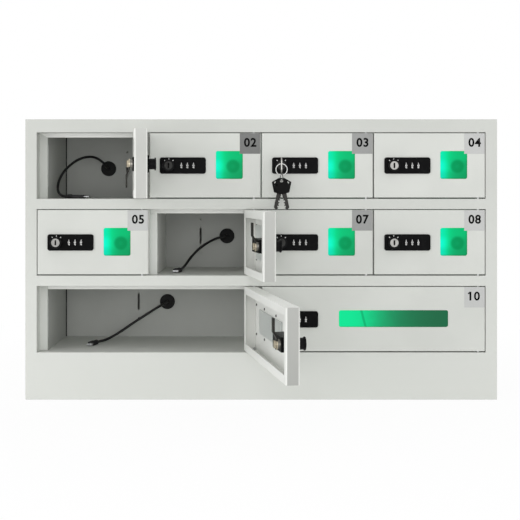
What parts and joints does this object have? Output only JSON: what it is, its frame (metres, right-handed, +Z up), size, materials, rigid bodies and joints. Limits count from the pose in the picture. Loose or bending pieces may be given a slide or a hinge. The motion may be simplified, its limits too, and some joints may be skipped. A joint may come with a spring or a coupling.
{
  "type": "cell phone locker box",
  "caption": "Steel counter-top locker for phones and tablets, with hinged doors, combination cam locks, lit windows and charging leads in its compartments.",
  "frame": {"origin": "middle of the case's footprint, on the surface that it stands on", "axes": "+X to the right as seen from the doors, +Y from the doors to the rear, +Z up"},
  "size_m": [0.7, 0.576, 0.416],
  "materials": {
    "case_paint": "light grey powder coat, fine texture, satin",
    "inner_paint": "light grey powder coat inside the compartments",
    "door_paint": "light grey powder coat, satin",
    "zinc_steel": "bright zinc plate",
    "grommet_rubber": "moulded black rubber",
    "hub_plastic": "black moulded casing",
    "lead_sheath": "black flexible sheath",
    "connector_plastic": "black moulded grip",
    "pane_lit": "acrylic pane that glows green",
    "pane_clear": "clear acrylic pane",
    "lock_black": "black plated die-cast housing, smooth",
    "cam_metal": "plated steel cam and spindle under a black knob",
    "dial_black": "black moulded number wheel",
    "key_steel": "nickel-plated blade",
    "spare_key_black": "black moulded key heads on a steel ring"
  },
  "bodies": {
    "cabinet": {"outer_case": "case_paint", "base_plinth": "case_paint", "row_shelves": "case_paint", "compartment_walls": "inner_paint", "back_partition": "inner_paint", "rear_cover": "case_paint", "cover_screws": "zinc_steel", "hinge_pins": "zinc_steel", "cable_grommets": "grommet_rubber", "charging_hub": "hub_plastic", "charging_lead_01": "lead_sheath", "charging_lead_06": "lead_sheath", "charging_lead_09": "lead_sheath", "charging_lead_10": "lead_sheath", "lead_connectors": "connector_plastic"},
    "door_01": {"door_panel_01": "door_paint", "window_pane_01": "pane_clear", "lock_body_01": "lock_black"},
    "cam_01": {"lock_cam_01": "cam_metal"},
    "door_02": {"door_panel_02": "door_paint", "window_pane_02": "pane_lit", "lock_body_02": "lock_black"},
    "cam_02": {"lock_cam_02": "cam_metal"},
    "door_03": {"door_panel_03": "door_paint", "window_pane_03": "pane_lit", "lock_body_03": "lock_black"},
    "cam_03": {"lock_cam_03": "cam_metal", "key_in_lock": "key_steel"},
    "door_04": {"door_panel_04": "door_paint", "window_pane_04": "pane_lit", "lock_body_04": "lock_black"},
    "cam_04": {"lock_cam_04": "cam_metal"},
    "door_05": {"door_panel_05": "door_paint", "window_pane_05": "pane_lit", "lock_body_05": "lock_black"},
    "cam_05": {"lock_cam_05": "cam_metal"},
    "door_06": {"door_panel_06": "door_paint", "window_pane_06": "pane_clear", "lock_body_06": "lock_black"},
    "cam_06": {"lock_cam_06": "cam_metal"},
    "door_07": {"door_panel_07": "door_paint", "window_pane_07": "pane_lit", "lock_body_07": "lock_black"},
    "cam_07": {"lock_cam_07": "cam_metal"},
    "door_08": {"door_panel_08": "door_paint", "window_pane_08": "pane_lit", "lock_body_08": "lock_black"},
    "cam_08": {"lock_cam_08": "cam_metal"},
    "door_09": {"door_panel_09": "door_paint", "window_pane_09": "pane_clear", "lock_body_09": "lock_black"},
    "cam_09": {"lock_cam_09": "cam_metal"},
    "door_10": {"door_panel_10": "door_paint", "window_pane_10": "pane_lit", "lock_body_10": "lock_black"},
    "cam_10": {"lock_cam_10": "cam_metal"},
    "dial_left": {"dial_left_03": "dial_black"},
    "dial_middle": {"dial_middle_03": "dial_black"},
    "dial_right": {"dial_right_03": "dial_black"},
    "key_bunch": {"spare_keys": "spare_key_black"}
  },
  "joints": [
    {"name": "door_01_hinge", "type": "hinge", "parent": "cabinet", "child": "door_01", "pos_m": [-0.17725, -0.1255, 0.34725], "axis": [0, 0, 1], "range_deg": [-96.7, 13.3]},
    {"name": "door_02_hinge", "type": "hinge", "parent": "cabinet", "child": "door_02", "pos_m": [-0.01075, -0.1255, 0.34725], "axis": [0, 0, 1], "range_deg": [0, 110]},
    {"name": "door_03_hinge", "type": "hinge", "parent": "cabinet", "child": "door_03", "pos_m": [0.15575, -0.1255, 0.34725], "axis": [0, 0, 1], "range_deg": [0, 110]},
    {"name": "door_04_hinge", "type": "hinge", "parent": "cabinet", "child": "door_04", "pos_m": [0.32225, -0.1255, 0.34725], "axis": [0, 0, 1], "range_deg": [0, 110]},
    {"name": "door_05_hinge", "type": "hinge", "parent": "cabinet", "child": "door_05", "pos_m": [-0.17725, -0.1255, 0.23325], "axis": [0, 0, 1], "range_deg": [0, 110]},
    {"name": "door_06_hinge", "type": "hinge", "parent": "cabinet", "child": "door_06", "pos_m": [-0.01075, -0.1255, 0.23325], "axis": [0, 0, 1], "range_deg": [-100, 10]},
    {"name": "door_07_hinge", "type": "hinge", "parent": "cabinet", "child": "door_07", "pos_m": [0.15575, -0.1255, 0.23325], "axis": [0, 0, 1], "range_deg": [0, 110]},
    {"name": "door_08_hinge", "type": "hinge", "parent": "cabinet", "child": "door_08", "pos_m": [0.32225, -0.1255, 0.23325], "axis": [0, 0, 1], "range_deg": [0, 110]},
    {"name": "door_09_hinge", "type": "hinge", "parent": "cabinet", "child": "door_09", "pos_m": [-0.01075, -0.1255, 0.11925], "axis": [0, 0, 1], "range_deg": [-99.7, 10.3]},
    {"name": "door_10_hinge", "type": "hinge", "parent": "cabinet", "child": "door_10", "pos_m": [0.32225, -0.1255, 0.11925], "axis": [0, 0, 1], "range_deg": [0, 110]},
    {"name": "cam_01_turn", "type": "hinge", "parent": "door_01", "child": "cam_01", "pos_m": [-0.15808, -0.25011, 0.34725], "axis": [-0.9932, -0.1167, 0], "range_deg": [0, 90]},
    {"name": "cam_02_turn", "type": "hinge", "parent": "door_02", "child": "cam_02", "pos_m": [-0.13675, -0.13, 0.34725], "axis": [0, -1, 0], "range_deg": [0, 90]},
    {"name": "cam_03_turn", "type": "hinge", "parent": "door_03", "child": "cam_03", "pos_m": [0.02975, -0.13, 0.34725], "axis": [0, -1, 0], "range_deg": [0, 90]},
    {"name": "cam_04_turn", "type": "hinge", "parent": "door_04", "child": "cam_04", "pos_m": [0.19625, -0.13, 0.34725], "axis": [0, -1, 0], "range_deg": [0, 90]},
    {"name": "cam_05_turn", "type": "hinge", "parent": "door_05", "child": "cam_05", "pos_m": [-0.30325, -0.13, 0.23325], "axis": [0, -1, 0], "range_deg": [0, 90]},
    {"name": "cam_06_turn", "type": "hinge", "parent": "door_06", "child": "cam_06", "pos_m": [0.01556, -0.2488, 0.23325], "axis": [0.9848, 0.1736, 0], "range_deg": [0, 90]},
    {"name": "cam_07_turn", "type": "hinge", "parent": "door_07", "child": "cam_07", "pos_m": [0.02975, -0.13, 0.23325], "axis": [0, -1, 0], "range_deg": [0, 90]},
    {"name": "cam_08_turn", "type": "hinge", "parent": "door_08", "child": "cam_08", "pos_m": [0.19625, -0.13, 0.23325], "axis": [0, -1, 0], "range_deg": [0, 90]},
    {"name": "cam_09_turn", "type": "hinge", "parent": "door_09", "child": "cam_09", "pos_m": [0.04297, -0.41306, 0.11925], "axis": [0.9857, 0.1685, 0], "range_deg": [0, 90]},
    {"name": "cam_10_turn", "type": "hinge", "parent": "door_10", "child": "cam_10", "pos_m": [0.02975, -0.13, 0.11925], "axis": [0, -1, 0], "range_deg": [0, 90]},
    {"name": "dial_left_turn", "type": "hinge", "parent": "door_03", "child": "dial_left", "pos_m": [0.04825, -0.1273, 0.34725], "axis": [1, 0, 0], "continuous": true},
    {"name": "dial_middle_turn", "type": "hinge", "parent": "door_03", "child": "dial_middle", "pos_m": [0.05725, -0.1273, 0.34725], "axis": [1, 0, 0], "continuous": true},
    {"name": "dial_right_turn", "type": "hinge", "parent": "door_03", "child": "dial_right", "pos_m": [0.06625, -0.1273, 0.34725], "axis": [1, 0, 0], "continuous": true},
    {"name": "key_bunch_swing", "type": "hinge", "parent": "cam_03", "child": "key_bunch", "pos_m": [0.02975, -0.1594, 0.34925], "axis": [1, 0, 0], "range_deg": [-70, 5]}
  ]
}
